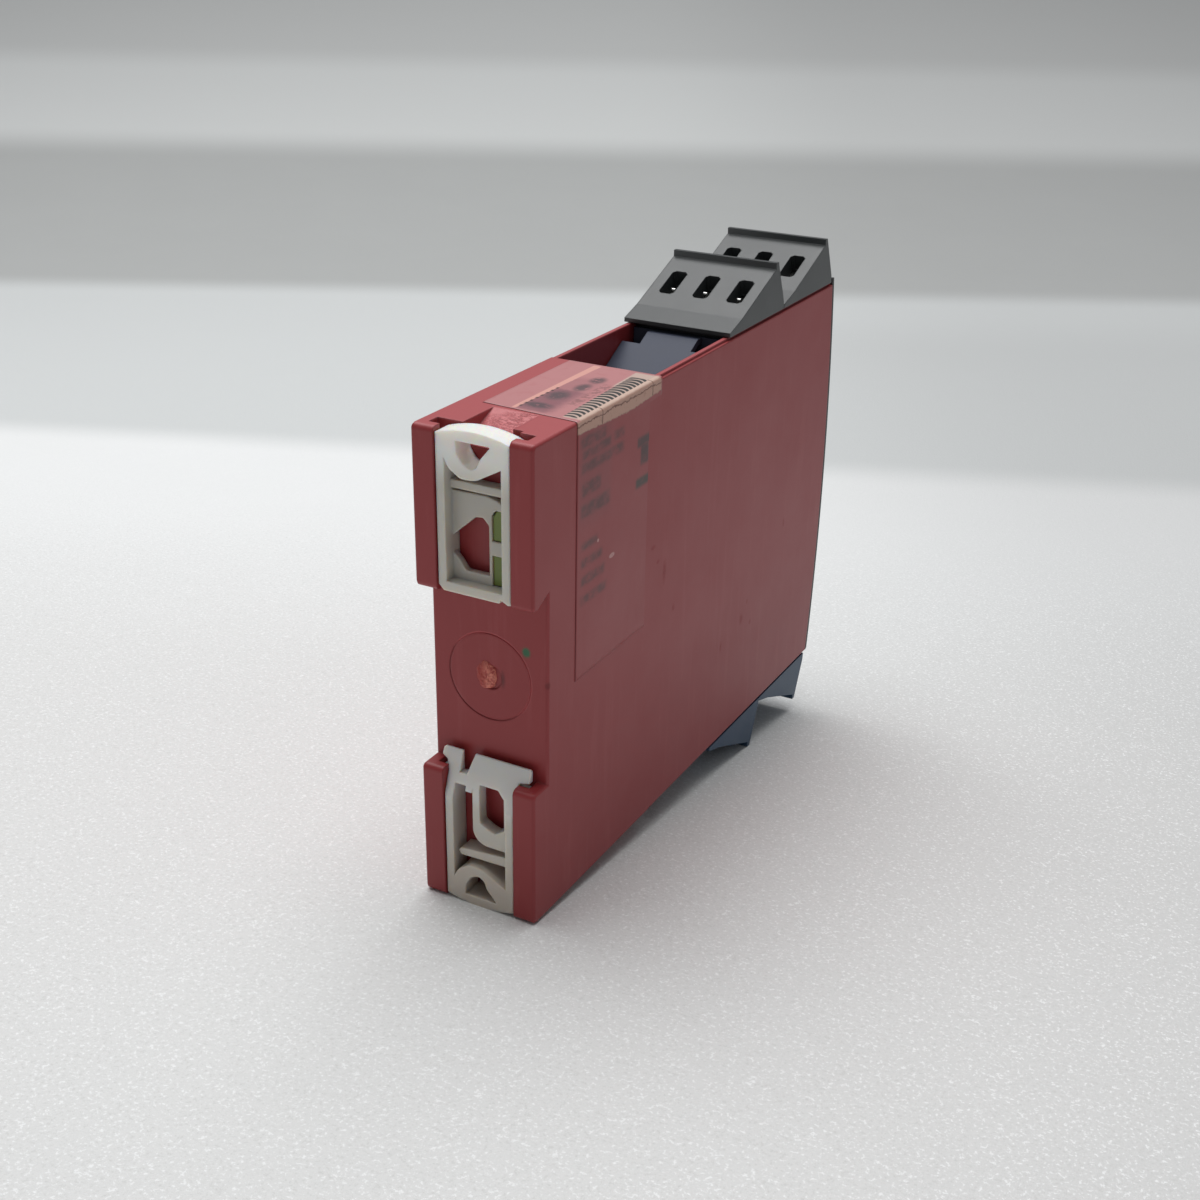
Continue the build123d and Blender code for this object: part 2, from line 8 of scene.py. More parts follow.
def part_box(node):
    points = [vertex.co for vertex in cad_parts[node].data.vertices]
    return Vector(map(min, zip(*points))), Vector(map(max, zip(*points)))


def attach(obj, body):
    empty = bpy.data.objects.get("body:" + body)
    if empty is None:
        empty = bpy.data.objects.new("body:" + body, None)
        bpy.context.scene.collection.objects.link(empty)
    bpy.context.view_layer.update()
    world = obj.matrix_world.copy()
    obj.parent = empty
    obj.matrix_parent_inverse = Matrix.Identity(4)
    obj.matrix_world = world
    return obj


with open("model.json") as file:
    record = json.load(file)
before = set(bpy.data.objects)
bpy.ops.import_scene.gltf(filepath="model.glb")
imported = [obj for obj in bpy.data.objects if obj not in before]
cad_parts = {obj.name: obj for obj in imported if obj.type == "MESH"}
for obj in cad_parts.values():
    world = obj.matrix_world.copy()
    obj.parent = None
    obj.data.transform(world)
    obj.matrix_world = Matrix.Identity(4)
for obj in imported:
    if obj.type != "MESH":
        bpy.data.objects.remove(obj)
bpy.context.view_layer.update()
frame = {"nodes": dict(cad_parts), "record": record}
nodes = frame["nodes"]
print("frame loaded,", len(nodes), "nodes")

mm = 0.001
housingLow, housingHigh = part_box("housing")
rearY = housingHigh.y  # the jaws' rear faces
baseZ = housingLow.z  # the housing's underside
tall = (housingHigh.z - baseZ) / mm
wide = housingHigh.x / mm  # from the middle to a side


def spot(across, depth, height):  # mm across, in from the rear faces, up from the underside
    return Vector((across * mm, rearY - depth * mm, baseZ + height * mm))


# the camera's place and lens follow the housing's corners
camera = {
    "place": (-0.12842, 0.25956, 0.17653),
    "right": (-0.876955, -0.480332, 0.015217),
    "down": (-0.211889, 0.358042, -0.909345),
    "forward": (0.431339, -0.800679, -0.415763),
    "lens": 47.828,
    "sensor": 36,
    "nearest": 0.01,
}


def placeCamera():
    right, down, forward = (Vector(camera[way]) for way in ("right", "down", "forward"))
    turn = Matrix((right, -down, -forward)).transposed().to_4x4()
    lens = bpy.data.cameras.new("view")
    lens.lens = camera["lens"]
    lens.sensor_width = camera["sensor"]
    lens.clip_start = camera["nearest"]
    viewer = bpy.data.objects.new("view", lens)
    viewer.matrix_world = Matrix.Translation(camera["place"]) @ turn
    bpy.context.scene.collection.objects.link(viewer)
    bpy.context.scene.camera = viewer


placeCamera()
print("camera placed")


class Value:  # a number or colour on its way through a material
    def __init__(self, finish, socket):
        self.finish = finish
        self.socket = socket

    def __add__(self, other):
        return self.finish.maths("ADD", self, other)

    def __sub__(self, other):
        return self.finish.maths("SUBTRACT", self, other)

    def __rsub__(self, other):
        return self.finish.maths("SUBTRACT", other, self)

    def __mul__(self, other):
        return self.finish.maths("MULTIPLY", self, other)

    __radd__ = __add__
    __rmul__ = __mul__


def tint(colour, factor=1.0):
    return tuple(c * factor for c in colour) + (1.0,)


class Finish:
    def __init__(self, name):
        self.material = bpy.data.materials.new(name)
        self.material.use_nodes = True
        self.tree = self.material.node_tree
        self.tree.nodes.clear()
        self.place = self.node("TexCoord", out="Object")

    def node(self, kind, settings=None, sockets=None, out=0):
        made = self.tree.nodes.new("ShaderNode" + kind)
        for key, value in (settings or {}).items():
            setattr(made, key, value)
        for key, value in (sockets or {}).items():
            if isinstance(value, Value):
                self.tree.links.new(value.socket, made.inputs[key])
            else:
                made.inputs[key].default_value = value
        return Value(self, made.outputs[out]) if made.outputs else None

    def maths(self, operation, *values):
        return self.node("Math", {"operation": operation}, dict(enumerate(values)))

    def vector(self, operation, *values, out=0):
        return self.node("VectorMath", {"operation": operation}, dict(enumerate(values)), out)

    def places(self):  # mm across, in from the rear faces, up from the underside
        start = (0, rearY / mm, -baseZ / mm)
        moved = self.vector("MULTIPLY_ADD", self.place, (1000, -1000, 1000), start)
        return [self.node("SeparateXYZ", None, {0: moved}, way) for way in "XYZ"]

    def grain(self, scale, detail=3.0, rough=0.55, stretch=None):
        at = self.vector("MULTIPLY", self.place, stretch) if stretch else self.place
        sockets = {"Vector": at, "Scale": scale, "Detail": detail, "Roughness": rough}
        return self.node("TexNoise", None, sockets, "Fac")

    def fade(self, value, start, end):  # 0 at start, 1 at end, smooth between
        return self.node("MapRange", {"interpolation_type": "SMOOTHSTEP"}, {0: value, 1: start, 2: end})

    def between(self, value, low, high, soft=0.15):  # 1 between two values
        return self.fade(value, low - soft, low + soft) * (1 - self.fade(value, high - soft, high + soft))

    def patch(self, across, along, span, softAcross, softAlong):  # 1 inside a rectangle
        left, right, start, end = span
        return self.between(across, left, right, softAcross) * self.between(along, start, end, softAlong)

    def near(self, centre, reach, soft=0.5):  # 1 inside an ellipsoid, fading to 0 outside
        away = self.vector("SUBTRACT", self.place, tuple(spot(*centre)))
        away = self.vector("MULTIPLY", away, tuple(1 / (r * mm) for r in reach))
        return 1 - self.fade(self.vector("LENGTH", away, out="Value"), 1 - soft, 1.0)

    def most(self, masks):
        whole = masks[0]
        for mask in masks[1:]:
            whole = self.maths("MAXIMUM", whole, mask)
        return whole

    def mix(self, factor, under, over):  # 6, 7 and 2 are the node's colour sockets
        return self.node("Mix", {"data_type": "RGBA"}, {0: factor, 6: under, 7: over}, 2)

    def paint(self, body, colour, factor):  # one plain colour laid over what is there
        return self.mix(factor, body, tint(colour))

    def softEdges(self, radius):  # normals that turn softly over each edge
        return self.node("Bevel", {"samples": 6}, {"Radius": radius * mm})

    def bump(self, height, distance, strength=1.0, normal=None):
        sockets = {"Strength": strength, "Distance": distance * mm, "Height": height}
        if normal:
            sockets["Normal"] = normal
        return self.node("Bump", None, sockets)

    def shader(self, **sockets):
        sockets = {key.replace("_", " "): value for key, value in sockets.items()}
        return self.node("BsdfPrincipled", None, sockets, "BSDF")

    def surface(self, shader):
        self.node("OutputMaterial", None, {"Surface": shader})
        return self.material

    def done(self, **sockets):
        return self.surface(self.shader(**sockets))


# plain moulded plastics: colour, gloss, grain height in mm, mottle, softness of the edges in mm,
# and for some the strength of the shine and how deep the light sinks in, in mm
plastics = {
    "cover_grey": {"colour": (0.040, 0.040, 0.043), "rough": 0.5, "grain": 0.020, "mottle": 0.2, "edge": 0.2},
    "foot_white": {"colour": (0.63, 0.61, 0.55), "rough": 0.36, "grain": 0.008, "mottle": 0.05, "edge": 0.45,
                   "depth": 1.4},
    "strip_green": {"colour": (0.15, 0.20, 0.036), "rough": 0.4, "grain": 0.008, "mottle": 0.22,
                    "edge": 0.3},
    "carrier_slate": {"colour": (0.070, 0.080, 0.115), "rough": 0.42, "grain": 0.012, "mottle": 0.15,
                      "edge": 0.2, "shine": 0.17},
    "plug_grey": {"colour": (0.045, 0.050, 0.051), "rough": 0.36, "grain": 0.015, "mottle": 0.08,
                  "edge": 0.25},
    "plug_blue": {"colour": (0.024, 0.060, 0.115), "rough": 0.46, "grain": 0.015, "mottle": 0.08,
                  "edge": 0.25},
    "board_green": {"colour": (0.03, 0.12, 0.06), "rough": 0.35, "grain": 0.012, "mottle": 0.3, "edge": 0.1},
    "ferrite": {"colour": (0.05, 0.05, 0.05), "rough": 0.6, "grain": 0.03, "mottle": 0.2, "edge": 0.3},
    "coil_tape": {"colour": (0.60, 0.42, 0.08), "rough": 0.3, "grain": 0.012, "mottle": 0.15, "edge": 0.2},
    "chip_black": {"colour": (0.02, 0.02, 0.02), "rough": 0.45, "grain": 0.015, "mottle": 0.2, "edge": 0.1},
    "switch_body": {"colour": (0.03, 0.06, 0.20), "rough": 0.35, "grain": 0.01, "mottle": 0.1, "edge": 0.15},
    "lever_white": {"colour": (0.72, 0.71, 0.68), "rough": 0.3, "grain": 0.006, "mottle": 0.05, "edge": 0.15},
}

# painted light and shade on the feet's cream plastic: colour, its strength and the mm between which it comes
# in
footLightAndShade = {
    "recessShade": {"colour": (0.36, 0.32, 0.28), "share": 0.40, "span": (0.8, 2.6)},
    "lowerHeadLight": {"colour": (0.80, 0.80, 0.78), "share": 0.6, "span": (20, 31)},
    "floorShade": {"colour": (0.50, 0.40, 0.33), "share": 0.5, "span": (18, 2)},
    "top": {"colour": (0.94, 0.93, 0.88), "share": 0.95, "span": (tall - 10, tall - 3)},
}


def paintFootLightAndShade(finish, body):  # painted shade in the recesses and near the floor, painted light on the lower head and at the top
    deep, height = finish.places()[1:]
    masks = {
        "recessShade": finish.fade(deep, *footLightAndShade["recessShade"]["span"]),
        "lowerHeadLight": finish.between(height, *footLightAndShade["lowerHeadLight"]["span"], 2.0),
        "floorShade": finish.fade(height, *footLightAndShade["floorShade"]["span"]),
        "top": finish.fade(height, *footLightAndShade["top"]["span"]),
    }
    for part, mask in masks.items():
        body = finish.paint(body, footLightAndShade[part]["colour"], mask * footLightAndShade[part]["share"])
    return body


def mouldedPlastic(name):
    look = plastics[name]
    finish = Finish(name)
    cloud = finish.grain(140, 4.0, 0.6)
    fine = finish.grain(5200, 2.0)
    dull, bright = (tint(look["colour"], 1 + side * look["mottle"]) for side in (-1, 1))
    body = finish.mix(cloud, dull, bright)
    rough = cloud * 0.14 + fine * 0.06 + (look["rough"] - 0.1)
    normal = finish.bump(fine, look["grain"], 0.6, finish.softEdges(look["edge"]))
    depth = look.get("depth", 0)
    if depth:
        # painted light and shade on the feet
        body = paintFootLightAndShade(finish, body)
    return finish.done(Base_Color=body, Roughness=rough, Normal=normal,
                       Specular_IOR_Level=look.get("shine", 0.5), Subsurface_Weight=1.0 if depth else 0.0,
                       Subsurface_Scale=depth * mm, Subsurface_Radius=(1.0, 0.75, 0.5))


finishes = {name: mouldedPlastic(name) for name in plastics}


# the housing: satin red, scuffed on its long side, with painted sheen on the long side and the roof and
# painted shade towards the bottom
housingLook = {
    "red": (0.300, 0.033, 0.036),
    # painted sheen: the long side painted lighter than the rear faces
    "side": (0.340, 0.042, 0.046),
    # painted sheen: the roof painted lighter
    "roofSheen": (0.44, 0.085, 0.092),
    # painted shade: darker towards the bottom
    "low": (0.22, 0.016, 0.018),
    "cloud": (0.20, 0.02, 0.022),
    "streak": (0.40, 0.085, 0.088),
    "rough": 0.42,
    "shine": 0.42,
    "edge": 0.5,
    "scuffs": [(104.9, 39.2, 0.7, 1.5), (51.2, 40.4, 0.8, 1.1), (84.3, 24.5, 1.3, 1.6),
               (74.4, 22.2, 0.7, 1.7), (46.8, 49.4, 1.1, 3.4), (44.0, 52.4, 1.0, 0.6),
               (89.2, 21.9, 0.8, 0.9), (41.9, 55.9, 1.4, 0.7), (87.0, 27.5, 0.5, 0.9)],
    "scuffed": (0.22, 0.018, 0.022),
    "ramp": {"span": (-4.2, 4.2, 5.0, 13.6), "colour": (0.60, 0.145, 0.155), "scored": (0.23, 0.02, 0.025)},
    "dot": {"place": (-7.1, 4.6, 49.8), "size": 1.25, "colour": (0.028, 0.125, 0.055)},
    "ring": {"place": (0, 4.6, 43.5), "radius": 8.0, "half": 0.2, "colour": (0.50, 0.075, 0.08)},
    "nick": {"place": (-11.2, 4.7, 44.6), "reach": (0.8, 0.8, 0.9), "colour": (0.16, 0.012, 0.014)},
    # painted shadow beside the gate stub
    "stubShadow": {"place": (-2.5, 4.6, 43.6), "reach": (0.7, 0.6, 2.3), "colour": (0.10, 0.006, 0.008)},
}


def weathered(finish, body, cloud, streaks, share):  # clouds and upright streaks in the red
    body = finish.paint(body, housingLook["cloud"], cloud * 0.22)
    return finish.paint(body, housingLook["streak"], finish.fade(streaks, 0.52, 0.72) * share)


def housingRed():
    look = housingLook
    finish = Finish("housing_red")
    x, d, h = finish.places()
    cloud = finish.grain(60, 5.0, 0.65)
    streaks = finish.grain(420, 3.0, 0.6, (1.0, 1.0, 0.09))
    fine = finish.grain(4800, 2.0)
    # painted sheen: the long side lighter than the rear faces
    body = finish.mix(finish.fade(x, -wide + 0.35, -wide + 0.05), tint(look["red"]), tint(look["side"]))
    # painted shade, darker towards the bottom
    body = finish.paint(body, look["low"], finish.fade(h, 42, 4) * 0.35)
    # painted sheen: the roof lighter
    body = finish.paint(body, look["roofSheen"], finish.fade(h, tall - 0.35, tall - 0.05))
    body = weathered(finish, body, cloud, streaks, 0.20)
    edge = finish.fade(x, -wide + 0.9, -wide + 0.1)
    scuffs = finish.most([finish.near((-wide, at, up), (0.5, long, high), 0.8)
                          for at, up, long, high in look["scuffs"]])
    torn = finish.fade(finish.grain(1900, 4.0, 0.7), 0.36, 0.60)
    body = finish.paint(body, look["scuffed"], scuffs * torn * 0.55)
    nick = finish.near(look["nick"]["place"], look["nick"]["reach"], 0.6)
    body = finish.paint(body, look["nick"]["colour"], nick * 0.7)
    # painted shadow to the right of the gate stub
    stubShadow = finish.near(look["stubShadow"]["place"], look["stubShadow"]["reach"], 0.8)
    body = finish.paint(body, look["stubShadow"]["colour"], stubShadow * 0.7)

    ramp = finish.patch(x, d, look["ramp"]["span"], 0.3, 0.4) * finish.fade(h, tall - 4, tall - 3.7)
    body = finish.paint(body, look["ramp"]["colour"], ramp)
    scores = finish.grain(1500, 5.0, 0.75, (0.35, 1.0, 1.0))
    scores = finish.between(scores, 0.47, 0.53, 0.03) * ramp * finish.fade(cloud, 0.42, 0.6)
    body = finish.paint(body, look["ramp"]["scored"], scores * 0.75)

    dot = look["dot"]
    wobble = finish.grain(2600, 2.0) * 0.5 + 0.75
    blob = finish.near(dot["place"], (dot["size"], 0.6, dot["size"] * 1.15), 0.85)
    body = finish.paint(body, dot["colour"], finish.fade(blob * wobble, 0.0, 0.95))

    # the ring's groove is painted lighter at the upper right, painted light that fills in its shade there; at
    # the lower left it keeps its own shading
    ring = look["ring"]
    away = finish.vector("SUBTRACT", finish.place, tuple(spot(*ring["place"])))
    inner, outer = ((ring["radius"] + side * ring["half"]) * mm for side in (-1, 1))
    groove = finish.between(finish.vector("LENGTH", away, out="Value"), inner, outer, 0.1 * mm)
    groove = groove * finish.between(d, 4.0, 4.9, 0.1)
    grooveLight = finish.fade(h - x * 0.9, ring["place"][2] - 4.5, ring["place"][2] + 2.0)
    body = finish.paint(body, ring["colour"], groove * grooveLight * 0.8)
    rough = cloud * 0.16 + fine * 0.05 + scuffs * 0.1 + (look["rough"] - 0.1)
    relief = fine * 0.5 + scores * -1.6 + nick * -4.0 + streaks * edge * 0.4
    normal = finish.bump(relief, 0.016, 0.7, finish.softEdges(look["edge"]))
    return finish.done(Base_Color=body, Roughness=rough, Normal=normal, Specular_IOR_Level=look["shine"])


finishes["housing_red"] = housingRed()


metals = {
    "plated_steel": {"colour": (0.70, 0.70, 0.68), "rough": 0.24},
    "pin_brass": {"colour": (0.72, 0.60, 0.36), "rough": 0.3},
    "can_metal": {"colour": (0.55, 0.56, 0.58), "rough": 0.32},
}


def metal(name):
    look = metals[name]
    finish = Finish(name)
    streak = finish.grain(900, 3.0, 0.6, (1, 1, 0.15))
    body = finish.mix(streak, tint(look["colour"], 0.8), tint(look["colour"], 1.1))
    rough = streak * 0.2 + (look["rough"] - 0.1)
    return finish.done(Base_Color=body, Roughness=rough, Metallic=1.0, Normal=finish.bump(streak, 0.01, 0.5))


lamps = {"lamp_green": (0.06, 0.40, 0.10), "lamp_yellow": (0.62, 0.46, 0.04), "lamp_red": (0.50, 0.04, 0.03)}


def lampLens(name):
    finish = Finish(name)
    cloud = finish.grain(700, 2.0)
    body = finish.mix(cloud, tint(lamps[name], 0.8), tint(lamps[name], 1.15))
    normal = finish.bump(cloud, 0.02, 0.4, finish.softEdges(0.3))
    return finish.done(Base_Color=body, Roughness=cloud * 0.1 + 0.15, Normal=normal, Transmission_Weight=0.35,
                       IOR=1.5)


for name in metals:
    finishes[name] = metal(name)
for name in lamps:
    finishes[name] = lampLens(name)

slots = {entry["node"]: entry["material_slot"] for entry in frame["record"]["subparts"]}
for name, node in nodes.items():
    node.data.materials.clear()
    node.data.materials.append(finishes[slots[name]])
print("finishes made:", len(finishes))


def skin(shape, rows):  # faces between rows of points
    for a, b in zip(rows, rows[1:]):
        for j in range(len(a) - 1):
            shape.faces.new((a[j], a[j + 1], b[j + 1], b[j]))


def meshFrom(shape, name, outward=True):
    if outward:
        bmesh.ops.recalc_face_normals(shape, faces=shape.faces)
    mesh = bpy.data.meshes.new(name)
    shape.to_mesh(mesh)
    shape.free()
    for face in mesh.polygons:
        face.use_smooth = True
    return mesh


def addPiece(name, mesh, material, body):
    piece = bpy.data.objects.new(name, mesh)
    bpy.context.scene.collection.objects.link(piece)
    mesh.materials.append(material)
    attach(piece, body)
    return piece


# the printed film that wraps over the top edge onto the long side
film = {
    "thick": 0.07,
    "across": 7.1,
    "topRear": 14.7,
    "sideRear": 13.5,
    "front": 43.3,
    "low": 41.5,
    "corner": 0.55,
    "steps": (40, 8, 60),  # over the roof, round the corner, down the side
    "columns": 60,
    "flatColumns": 6,  # before the side starts to sink into the housing
    "sunk": 0.03,
    "ripple": 0.018,
    "creaseLift": 0.10,
    "red": (0.340, 0.044, 0.048),
    # painted sheen: the film's red painted lighter on the roof
    "roofSheen": (0.55, 0.235, 0.24),
    "cream": (0.66, 0.46, 0.36),
    "ground": (0.54, 0.41, 0.345),
    "border": (0.78, 0.40, 0.33),
    "strip": (0.62, 0.385, 0.30),
    "rubbed": (0.36, 0.17, 0.12),
    "crack": (0.15, 0.055, 0.040),
    # painted shadow line along the film's edges
    "edgeShade": (0.13, 0.015, 0.018),
    "ink": (0.060, 0.022, 0.024),
    "blockInks": ((0.045, 0.024, 0.026), (0.018, 0.032, 0.024)),  # above and below
    "blockTurn": 72.0,
    "roofInk": (0.030, 0.036, 0.036),
    "mark": (0.085, 0.065, 0.075),
    "roofHaze": (0.17, 0.060, 0.085),
    "sideHaze": (0.16, 0.05, 0.06),
    "hazeSpan": (14.2, 25.0, 69.0, 85.5),
    "chipped": (0.52, 0.25, 0.24),
    "bars": [(14.8, 23.1, 83.4, 1.0), (25.9, 29.6, 81.6, 0.8), (15.3, 25.0, 81.3, 0.8),
             (15.0, 29.6, 79.0, 0.9), (15.2, 21.5, 75.3, 1.2), (14.9, 24.8, 71.6, 1.2),
             (15.1, 20.8, 65.4, 0.7), (15.2, 22.4, 62.4, 0.8), (15.2, 23.2, 59.2, 0.9),
             (15.0, 24.0, 55.7, 0.8)],
    "blocks": [(34.6, 39.6, 76.8, 78.6), (35.9, 38.8, 73.4, 77.2), (34.3, 40.0, 69.5, 71.2)],
    "smears": [(-1.6, 24.2, 2.2, 2.9), (-1.4, 18.0, 3.0, 1.7), (-2.9, 30.1, 1.5, 2.6),
               (-3.2, 35.0, 1.6, 2.2)],
    "chips": [(25.9, 60.3, 1.2, 0.55), (20.9, 64.8, 0.4, 0.4)],
    "cracksAt": (22.1, 40.0),
}


def filmProfile():  # across and height of the film, from its edge on the roof down the side
    reach = wide + film["thick"]
    top = tall + film["thick"]
    corner = film["corner"]
    topSteps, cornerSteps, sideSteps = film["steps"]
    run = film["across"] + wide - corner
    line = [(film["across"] - i * run / topSteps, top) for i in range(topSteps + 1)]
    for i in range(1, cornerSteps):
        turn = math.radians(90 * i / cornerSteps)
        line.append((-reach + corner - corner * math.sin(turn), top - corner + corner * math.cos(turn)))
    drop = top - corner - film["low"]
    line += [(-reach, top - corner - i * drop / sideSteps) for i in range(sideSteps + 1)]
    return line


def makeFilm():
    shape = bmesh.new()
    columns, flat = film["columns"], film["flatColumns"]
    rows = []
    for across, height in filmProfile():
        share = min(1.0, max(0.0, (film["across"] - across) / (film["across"] + wide)))
        rear = film["topRear"] + (film["sideRear"] - film["topRear"]) * share
        out = Vector((-1, 0, 0)) if height < tall - film["corner"] else Vector((0, 0, 1))
        row = []
        for j in range(columns + 1):
            depth = rear + (film["front"] - rear) * j / columns
            lift = film["ripple"] * noise.noise(Vector((across, height, depth)) * 0.35)
            crease = max(0.0, 1 - abs(height - tall + 0.5) / 1.4) * (across < -wide + 0.6)
            lift += crease * film["creaseLift"] * noise.noise(Vector((0, height * 1.6, depth * 0.9)))
            sink = 0
            if height < tall - 3.5:
                sink = (film["thick"] + film["sunk"]) * max(0.0, (j - flat) / (columns - flat)) ** 2
            moved = out * (lift * (sink < 0.05) - sink) * mm
            row.append(shape.verts.new(spot(across, depth, height) + moved))
        rows.append(row)
    skin(shape, rows)
    mesh = meshFrom(shape, "label_film")
    piece = addPiece("label_film", mesh, filmFinish(), "module")
    body = piece.modifiers.new("thickness", "SOLIDIFY")
    body.thickness = film["thick"] * mm
    body.offset = -1


def filmFinish():
    finish = Finish("film_print")
    x, d, h = finish.places()
    onSide = finish.fade(x, -wide + 0.12, -wide + 0.02)
    onTop = 1 - onSide
    cloud = finish.grain(75, 4.0, 0.6)
    worn = finish.grain(900, 5.0, 0.7)
    streaks = finish.grain(420, 3.0, 0.6, (1.0, 1.0, 0.09))
    # painted sheen: the film lighter on the roof than on the side
    body = finish.mix(onTop, tint(film["red"]), tint(film["roofSheen"]))
    body = weathered(finish, body, cloud, streaks, 0.18)
    body = sidePrint(finish, body, d, h, onSide)
    chips = finish.most([finish.near((-wide, at, up), (0.5, long, high), 0.4)
                         for at, up, long, high in film["chips"]])
    body = finish.paint(body, film["chipped"], chips * finish.fade(worn, 0.3, 0.45))
    body, smudges = roofPrint(finish, body, x, d, onTop, worn)
    body, ground, hatching = hatchedBand(finish, body, x, d, onTop, worn)
    body, strip, cracks, crease = edgeStrip(finish, body, x, d, h, onTop, worn)

    # the cut edges of the film, darkened by a painted shadow line along the rear edge and the lower side edge
    slant = (film["topRear"] - film["sideRear"]) / (film["across"] + wide)
    lineAt = film["sideRear"] + slant * (x + wide)
    edgeShade = 1 - finish.fade(d - lineAt, 0.12, 0.28)
    lowEdgeShade = (1 - finish.fade(h, film["low"] + 0.05, film["low"] + 0.2)) * finish.fade(d, 30.0, 18.0)
    body = finish.paint(body, film["edgeShade"], finish.maths("MAXIMUM", edgeShade, lowEdgeShade * 0.35) * 0.75)
    rough = cloud * 0.14 + (strip + ground) * 0.15 + worn * 0.06 + 0.31
    relief = worn * (strip + ground) * 1.2 - cracks - crease + finish.grain(3000, 2.0) * 0.15
    printed = finish.shader(Base_Color=body, Roughness=rough, Normal=finish.bump(relief, 0.05, 0.8))
    matt = finish.shader(Base_Color=tint(film["roofInk"]), Roughness=worn * 0.2 + 0.6, Specular_IOR_Level=0.2)
    dark = finish.maths("MAXIMUM", smudges, hatching)
    return finish.surface(finish.node("MixShader", None, {0: dark, 1: printed, 2: matt}, "Shader"))


def sidePrint(finish, body, d, h, onSide):  # faded rows of print, too rubbed to hold any sign
    speck = finish.grain(430, 3.0, 0.6, (1.0, 1.0, 1.4))
    rows = finish.most([finish.patch(d, h, (start, end, up - half, up + half), 0.7, 0.5)
                        for start, end, up, half in film["bars"]]) * finish.fade(speck, 0.12, 0.72)
    blocks = finish.most([finish.patch(d, h, span, 0.5, 0.5) for span in film["blocks"]])
    blocks = blocks * finish.fade(speck, 0.0, 0.55)
    haze = finish.patch(d, h, film["hazeSpan"], 1.6, 2.0)
    body = finish.paint(body, film["sideHaze"], haze * onSide * 0.22)
    body = finish.paint(body, film["ink"], rows * onSide * 0.72)
    upper, lower = (tint(ink) for ink in film["blockInks"])
    inks = finish.mix(finish.fade(h, film["blockTurn"] + 0.5, film["blockTurn"] - 0.5), upper, lower)
    return finish.mix(blocks * onSide * 0.86, body, inks)


def roofPrint(finish, body, x, d, onTop, worn):  # dark rubbed patches and a pale border on the roof
    ragged = worn * 1.2 - 0.6
    wideBorder = d * 0.026 + 0.16  # half its width beyond what it has at the seam
    edge = finish.fade(x + wideBorder + ragged * 0.2, 1.5, 1.6)
    strong = finish.between(d + ragged, 15.0, 27.6, 0.5) * 0.6
    weak = finish.between(d + ragged, 15.0, 35.0, 1.5) * 0.4
    haze = (1 - edge) * finish.fade(x + ragged, -6.4, -3.4) * (strong + weak)
    marks = finish.most([finish.near((at, deep, tall), (long * 1.2, high * 1.2, 3.0), 0.7)
                         for at, deep, long, high in film["smears"]]) * finish.fade(worn, 0.30, 0.50)
    lines = finish.patch(x, d, (-6.9, -5.2, 21.0, 33.5), 0.3, 0.8) * finish.fade(worn, 0.45, 0.56)
    teeth = finish.fade(finish.maths("SINE", d * 3.9), -0.2, 0.5) * finish.between(d, 15.6, 28.6, 0.4)
    teeth = teeth * finish.between(x + wideBorder, 1.25, 1.72, 0.08)
    body = finish.paint(body, film["roofHaze"], haze * onTop * 0.68)
    body = finish.paint(body, film["mark"], marks * onTop * 0.75)
    border = edge * (1 - finish.fade(x, 1.72, 1.86)) * finish.between(d, 15.0, 42.6, 0.2)
    body = finish.paint(body, film["border"], border * onTop * 0.80)
    return body, finish.most([marks * 0.22, teeth * 0.75, lines * 0.35]) * onTop


def hatchedBand(finish, body, x, d, onTop, worn):  # on pale ground, beside the cracked edge strip
    left = d * 0.030 - 8.2
    band = finish.fade(x - left, 0.12, -0.12) * finish.fade(x, -10.45, -10.25)
    band = band * finish.between(d, 15.3, 39.9, 0.3) * onTop
    bow = finish.maths("POWER", finish.maths("ABSOLUTE", x + 8.7), 2.0)
    arcs = finish.maths("SINE", d * 4.72 + bow * 1.5 + finish.grain(160, 1.0) * 5.5)
    hatch = finish.fade(arcs + finish.fade(d, 18.0, 36.0) * 0.3 + worn * 0.8, -0.10, 0.45)
    ground = finish.most([finish.fade(x - left, 0.55, 0.25) * finish.fade(d, 32.0, 35.0),
                          finish.fade(x - left, 0.05, -0.2)]) * finish.between(d, 14.8, 42.6, 0.3) * onTop
    body = finish.paint(body, film["ground"], ground * 0.88)
    body = finish.paint(body, film["cream"], finish.fade(x, -10.2, -10.5) * ground * 0.6)
    return body, ground, band * hatch * 0.95


def edgeStrip(finish, body, x, d, h, onTop, worn):  # the cracked, pale strip along the top edge
    rim = h + finish.maths("ABSOLUTE", d - 31.0) * -0.045 + worn * 0.9
    strip = finish.fade(rim, tall - 2.62, tall - 2.42) * finish.between(d + worn * 0.6, 13.4, 43.2, 0.15)
    strip = strip * (1 - onTop)
    body = finish.paint(body, film["strip"], strip * 0.92)
    creaseAt = h - worn * 1.3 - finish.grain(300, 2.0) * 0.8
    crease = finish.between(creaseAt, tall - 2.0, tall - 1.78, 0.10) * strip
    cracks = finish.most([finish.between(d + worn * 0.8, at, at + 0.25, 0.12) for at in film["cracksAt"]])
    cracks = cracks * finish.most([strip, finish.fade(x, -10.0, -10.4) * onTop])
    low = finish.fade(rim, tall - 2.30, tall - 2.50) * strip
    body = finish.paint(body, film["crack"], finish.most([crease * 0.85, cracks * 0.85, low * 0.45]))
    body = finish.paint(body, film["rubbed"], strip * finish.fade(worn, 0.56, 0.70) * 0.4)
    return body, strip, cracks, crease


makeFilm()
print("film laid over the top edge")


# the torn stub where the moulding was fed
stub = {
    "place": (0.75, 4.63, 43.7),
    "radius": 2.15,
    "across": 0.92,  # shares of the radius
    "upright": 1.25,
    "height": 0.60,
    "ragged": 0.16,
    "sunk": 0.3,
    "rings": 16,
    "spokes": 48,
    "shaded": (0.40, 0.050, 0.040),
    "lit": (0.84, 0.29, 0.21),
}


